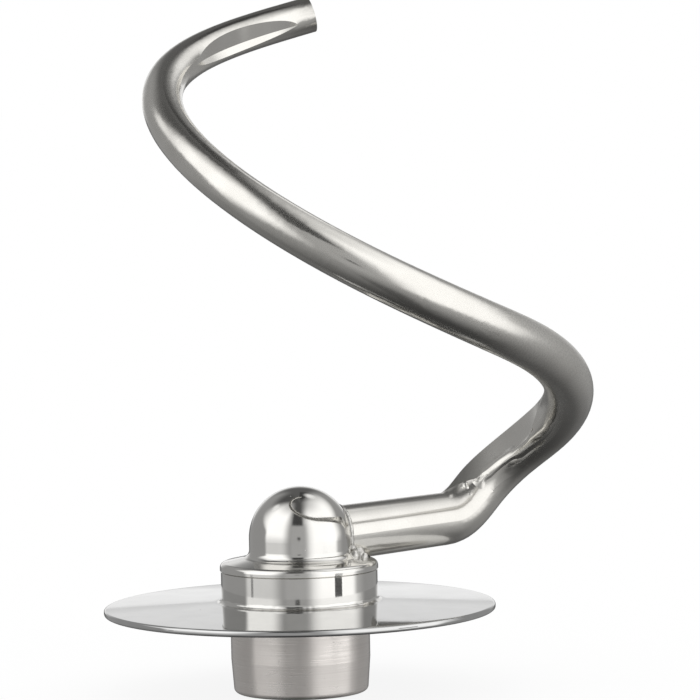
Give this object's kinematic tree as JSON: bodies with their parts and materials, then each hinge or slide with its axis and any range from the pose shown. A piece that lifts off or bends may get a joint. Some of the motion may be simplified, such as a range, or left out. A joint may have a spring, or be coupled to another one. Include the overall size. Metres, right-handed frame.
{
  "type": "spiral dough hook",
  "caption": "Spiral dough hook for a planetary stand mixer: a tapered, coiled steel bar welded to a domed hub, with a round dough guard and a bayonet drive socket.",
  "frame": {"origin": "on the drive axis, in the middle of the drive socket's mouth, on which the hook stands", "axes": "+Z along the drive axis from the socket's mouth to the hook's tip; the arm leaves the hub towards +X and a little to +Y; -Y faces the picture's camera"},
  "size_m": [0.1131, 0.1035, 0.1599],
  "materials": {
    "socket_steel": "turned and finely brushed stainless steel",
    "guard_sheet": "polished stainless sheet",
    "hub_steel": "mirror-polished stainless steel",
    "bar_steel": "polished stainless bar, fine-grained on its bends",
    "weld_metal": "rough weld bead, polished over"
  },
  "bodies": {
    "root": {"drive_socket": "socket_steel", "guard_disc": "guard_sheet", "collar": "hub_steel", "collar_weld": "weld_metal", "hub_cap": "hub_steel", "hook_bar": "bar_steel", "arm_weld": "weld_metal"}
  },
  "joints": []
}
